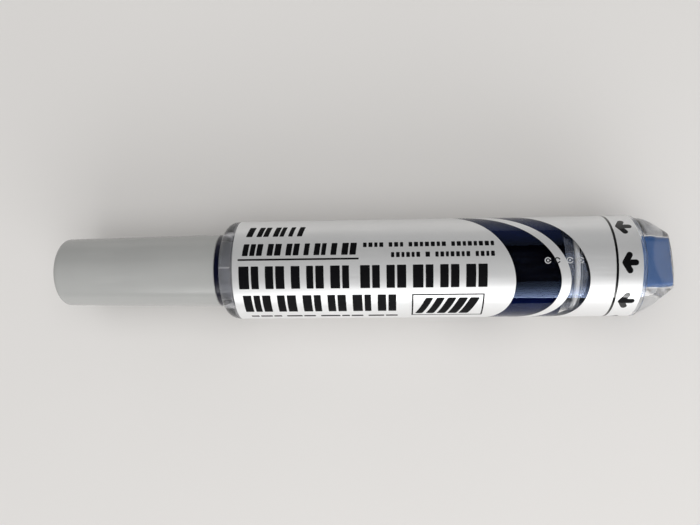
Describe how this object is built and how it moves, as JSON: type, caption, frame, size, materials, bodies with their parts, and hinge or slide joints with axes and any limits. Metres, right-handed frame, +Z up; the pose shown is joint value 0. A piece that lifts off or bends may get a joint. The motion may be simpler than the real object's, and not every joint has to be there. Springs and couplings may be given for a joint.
{
  "type": "whiteboard marker",
  "caption": "Fat liquid-ink whiteboard marker with a pull-off cap, clear ink windows in its label and a spring-loaded pump button.",
  "frame": {"origin": "the point under the middle of the marker, on the surface that it lies on", "axes": "+X along the marker from its cap to its pump button, +Z up, the marker lying on its side"},
  "size_m": [0.1222, 0.02, 0.02],
  "materials": {
    "cap_plastic": "satin",
    "soft_seal": "matte",
    "navy_plastic": "gloss",
    "rubber_ring": "matte",
    "nib_fibre": "felt",
    "wick_fibre": "felt",
    "white_plastic": "satin",
    "spring_steel": "bright",
    "clear_plastic": "clear",
    "label_print": "satin silver print",
    "ink": "liquid",
    "blue_plastic": "clear blue"
  },
  "bodies": {
    "barrel": {"barrel": "clear_plastic", "label_film": "label_print", "ink_charge": "ink", "front_section": "navy_plastic", "cap_grip_ring": "rubber_ring", "nib": "nib_fibre", "ink_collector": "white_plastic", "relay_wick": "wick_fibre", "valve_housing": "white_plastic", "valve_seat": "rubber_ring", "valve_guide": "white_plastic", "valve_spring": "spring_steel", "front_seal": "rubber_ring", "chamber_bulkhead": "white_plastic", "bulkhead_seal": "rubber_ring", "check_valve": "rubber_ring", "pump_cylinder": "white_plastic", "stop_ring": "white_plastic", "pump_spring": "spring_steel"},
    "cap": {"cap_shell": "cap_plastic", "cap_inner_seal": "soft_seal"},
    "valve": {"valve_stem": "white_plastic"},
    "plunger": {"pump_piston": "white_plastic", "piston_seal": "rubber_ring"},
    "button": {"pump_button": "blue_plastic"}
  },
  "joints": [
    {"name": "cap_pull", "type": "slide", "parent": "barrel", "child": "cap", "axis": [-1, 0, 0], "range_m": [0, 0.045]},
    {"name": "button_press", "type": "slide", "parent": "barrel", "child": "plunger", "axis": [-1, 0, 0], "range_m": [0, 0.0032], "stiffness_N_per_m": 800, "springref_m": -0.002, "deforming": ["pump_spring"]},
    {"name": "button_turn", "type": "hinge", "parent": "plunger", "child": "button", "pos_m": [0.0534, 0, 0.01], "axis": [1, 0, 0], "continuous": true},
    {"name": "valve_lift", "type": "slide", "parent": "barrel", "child": "valve", "axis": [-1, 0, 0], "range_m": [0, 0.0008], "deforming": ["valve_spring"]}
  ],
  "couplings": [
    {"joint": "valve_lift", "follows": "button_press", "ratio": 0.25}
  ]
}
